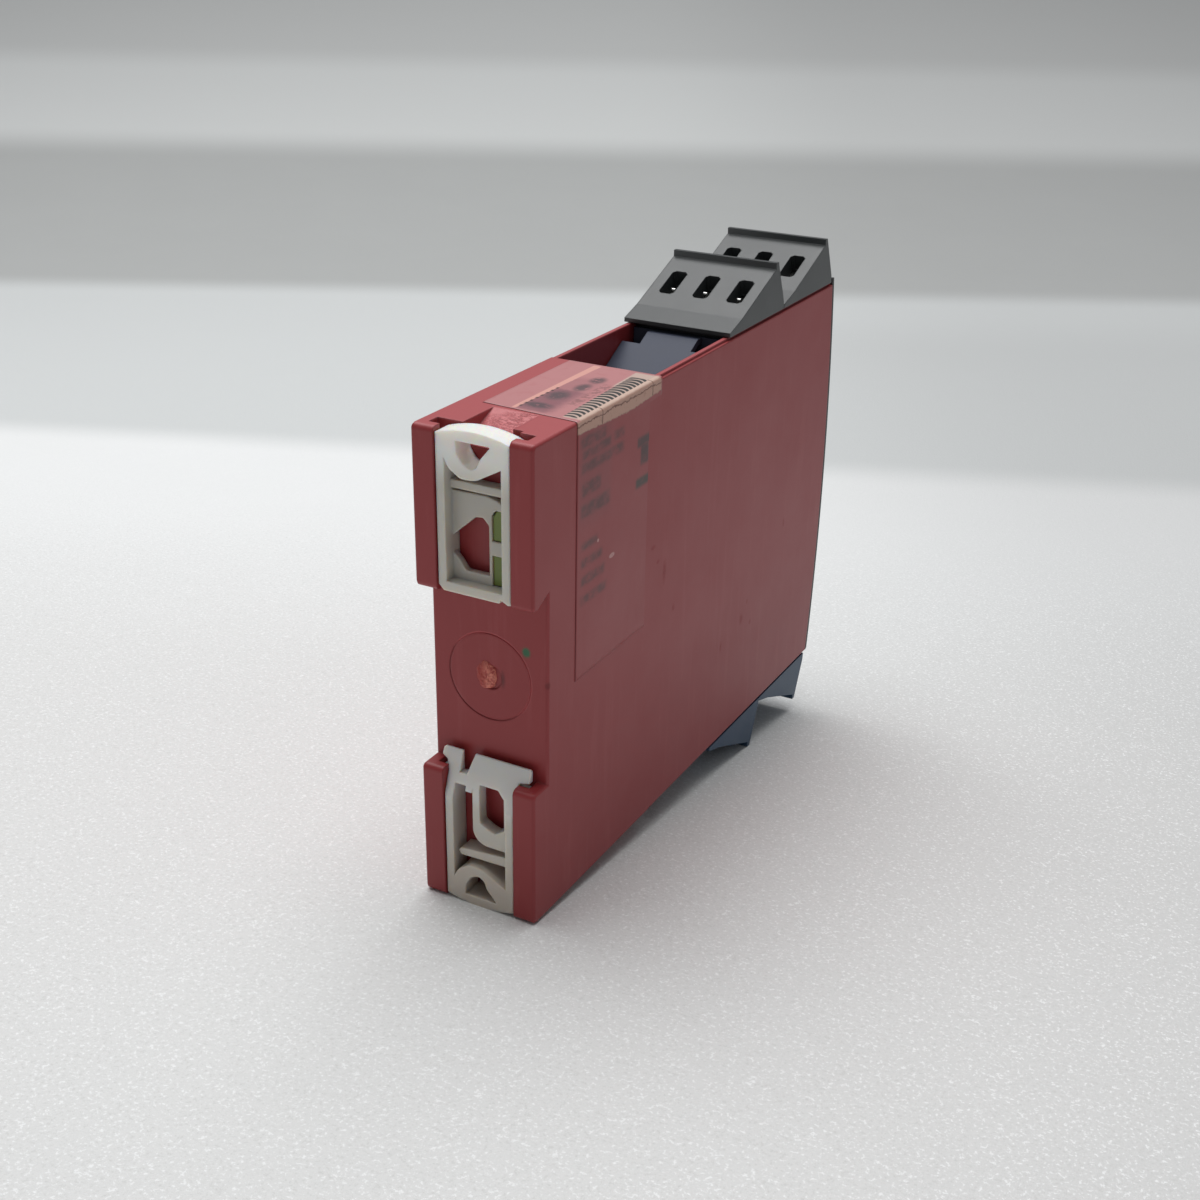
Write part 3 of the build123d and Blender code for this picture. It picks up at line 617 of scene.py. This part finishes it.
def makeStub():
    shape = bmesh.new()
    heart = spot(*stub["place"])
    rings = []
    for i in range(stub["rings"] + 1):
        reach = i / stub["rings"]
        dome = (1 - reach ** 4) * stub["height"]
        ring = []
        for j in range(stub["spokes"]):
            turn = 2 * math.pi * j / stub["spokes"]
            ragged = 1 + stub["ragged"] * noise.noise(Vector((math.cos(turn) * 2, math.sin(turn) * 2, 3.1)))
            x = math.cos(turn) * reach * stub["radius"] * ragged * stub["across"]
            z = math.sin(turn) * reach * stub["radius"] * ragged * stub["upright"]
            torn = noise.noise(Vector((x * 2.4, z * 0.8, 0.7))) * 0.35
            torn += noise.noise(Vector((x * 5, z * 2.4, 5.2))) * 0.2
            y = max(0.0, dome * (0.72 - x * 0.16 + torn * 1.4)) if i < stub["rings"] else -stub["sunk"]
            ring.append(shape.verts.new(heart + Vector((x * mm, y * mm, z * mm))))
        rings.append(ring)
    for a, b in zip(rings, rings[1:]):
        for j in range(stub["spokes"]):
            k = (j + 1) % stub["spokes"]
            shape.faces.new((a[j], b[j], b[k], a[k]))
    bmesh.ops.remove_doubles(shape, verts=shape.verts, dist=0.004 * mm)
    addPiece("gate_stub", meshFrom(shape, "gate_stub"), tornRed(), "module")


def tornRed():
    finish = Finish("torn_red")
    rough = finish.grain(1500, 5.0, 0.7)
    x = finish.places()[0]
    lit = finish.fade(x, 2.2, -0.6) * finish.fade(rough, 0.36, 0.60)
    body = finish.mix(lit, tint(stub["shaded"]), tint(stub["lit"]))
    return finish.done(Base_Color=body, Roughness=rough * 0.3 + 0.4, Normal=finish.bump(rough, 0.22, 0.9))


makeStub()
print("gate stub made")


# the clamps' polished lips, just visible inside the entries of the nearer upper plug
lips = {
    "places": [(6.81, 84.01, 91.88), (0.05, 84.15, 91.94), (-7.35, 83.76, 91.77)],
    "wide": 0.85,
    "tall": 0.75,
    "thick": 0.3,
    "drop": 0.15,
    "bend": (-15, 90),
    "steps": (8, 4),
}


def makeLips():
    shape = bmesh.new()
    low, high = lips["bend"]
    upSteps, acrossSteps = lips["steps"]
    for across, depth, height in lips["places"]:
        rows = []
        for i in range(upSteps + 1):
            turn = math.radians(low + (high - low) * i / upSteps)  # bent over its upper edge
            deep = depth - lips["tall"] * 0.5 * math.sin(turn)
            up = height + lips["tall"] * 0.5 * math.cos(turn) - lips["drop"]
            rows.append([shape.verts.new(spot(across + (j / acrossSteps - 0.5) * lips["wide"], deep, up))
                         for j in range(acrossSteps + 1)])
        skin(shape, rows)
    mesh = meshFrom(shape, "clamp_lips")
    piece = addPiece("clamp_lips", mesh, finishes["plated_steel"], "upper_rear_plug")
    body = piece.modifiers.new("thickness", "SOLIDIFY")
    body.thickness = lips["thick"] * mm


makeLips()
print("clamp lips made")


# floor, tilted as the part rests on its lower rear blocks and its lower rear edge,
# easing into a level backdrop that rises gently behind; in metres unless said
floorLook = {
    "run": 92.4,  # mm from the rear faces to the blocks, and how far those stand out below
    "drop": 10.2,
    "clear": 0.1,  # mm under the part
    "reach": 2.6,
    "steps": 90,
    "columns": 40,
    "easeFrom": 0.14,
    "easeOver": 0.4,
    "lowest": -0.060,
    "riseFrom": 0.7,
    "rise": 0.16,
    "near": (0.76, 0.762, 0.755),
    # painted light and shade: bands paler and darker with distance across the floor and backdrop
    "lightBands": [(0.02, 0.20, (0.85, 0.86, 0.86)), (0.255, 0.295, (0.645, 0.665, 0.665)),
              (0.66, 0.71, (0.44, 0.45, 0.445)), (1.04, 1.13, (0.66, 0.675, 0.67)),
              (1.30, 1.38, (0.56, 0.57, 0.565))],
    "cloud": (0.60, 0.61, 0.60),
    "shade": (0.30, 0.30, 0.30),
    "paleFleck": (0.93, 0.94, 0.94),
    "darkFleck": (0.50, 0.50, 0.48),
}


def makeFloor():
    look = floorLook
    away = Vector((camera["forward"][0], camera["forward"][1], 0)).normalized()
    side = Vector((away.y, -away.x, 0))
    reach, steps, columns = look["reach"], look["steps"], look["columns"]
    tilt, run = look["drop"] / look["run"], look["run"] * mm
    shape = bmesh.new()
    rows = []
    for i in range(steps + 1):
        s = -reach + 2 * reach * (i / steps)
        ease = min(1.0, max(0.0, (s - look["easeFrom"]) / look["easeOver"]))
        ease = ease * ease * (3 - 2 * ease)
        level = (away.y * s - rearY + run) * tilt
        level = max(level, look["lowest"]) + max(0.0, s - look["riseFrom"]) ** 2 * look["rise"]
        row = []
        for j in range(columns + 1):
            at = away * s + side * (-reach + 2 * reach * j / columns)
            lying = (at.y - rearY + run) * tilt - look["clear"] * mm
            at.z = lying * (1 - ease) + level * ease
            row.append(shape.verts.new(at))
        rows.append(row)
    skin(shape, rows)
    mesh = meshFrom(shape, "floor", outward=False)
    floor = bpy.data.objects.new("floor", mesh)
    bpy.context.scene.collection.objects.link(floor)
    mesh.materials.append(floorPaper(away, side))


def floorPaper(away, side):
    look = floorLook
    finish = Finish("floor")
    cloud = finish.grain(16, 4.0, 0.6)
    fibre = finish.grain(620, 4.0, 0.8)
    fleck = finish.grain(1500, 2.0, 0.7)
    far = finish.vector("DOT_PRODUCT", finish.place, tuple(away), out="Value")
    across = finish.vector("DOT_PRODUCT", finish.place, tuple(side), out="Value")
    body = tint(look["near"])
    # painted light and shade in bands with distance
    for start, end, colour in look["lightBands"]:
        body = finish.paint(body, colour, finish.fade(far, start, end))
    body = finish.paint(body, look["cloud"], cloud * 0.12)
    body = finish.paint(body, look["shade"], finish.fade(across, 0.0, 0.24) * 0.20)
    shaded = finish.fade(across, -0.03, 0.16) * finish.fade(far, 0.66, 0.50)
    body = finish.paint(body, look["shade"], shaded * 0.18)
    close = finish.fade(far, 0.25, 0.10)
    body = finish.paint(body, look["paleFleck"], finish.fade(fleck, 0.56, 0.68) * close * 0.8)
    body = finish.paint(body, look["darkFleck"], finish.fade(fleck, 0.44, 0.32) * close * 0.25)
    return finish.done(Base_Color=body, Roughness=fibre * 0.1 + 0.8, Normal=finish.bump(fibre, 0.6, 0.45))


makeFloor()


# light: one wide soft panel overhead in a pale room
light = {
    "power": 26.0,
    "size": 1.5,
    "place": (0.32, -0.35, 1.48),
    "room": 0.22,
    "roomTint": (0.95, 0.97, 1.0),
}


def makeLight():
    panel = bpy.data.lights.new("panel", "AREA")
    panel.energy = light["power"]
    panel.size = light["size"]
    lamp = bpy.data.objects.new("panel", panel)
    lamp.location = light["place"]
    lamp.rotation_euler = Vector(light["place"]).to_track_quat("Z", "Y").to_euler()
    bpy.context.scene.collection.objects.link(lamp)
    world = bpy.data.worlds.new("room")
    world.use_nodes = True
    room = world.node_tree.nodes["Background"]
    room.inputs["Color"].default_value = tint(light["roomTint"])
    room.inputs["Strength"].default_value = light["room"]
    bpy.context.scene.world = world


makeLight()
bpy.context.scene.view_settings.view_transform = "Standard"
print("floor and light placed")
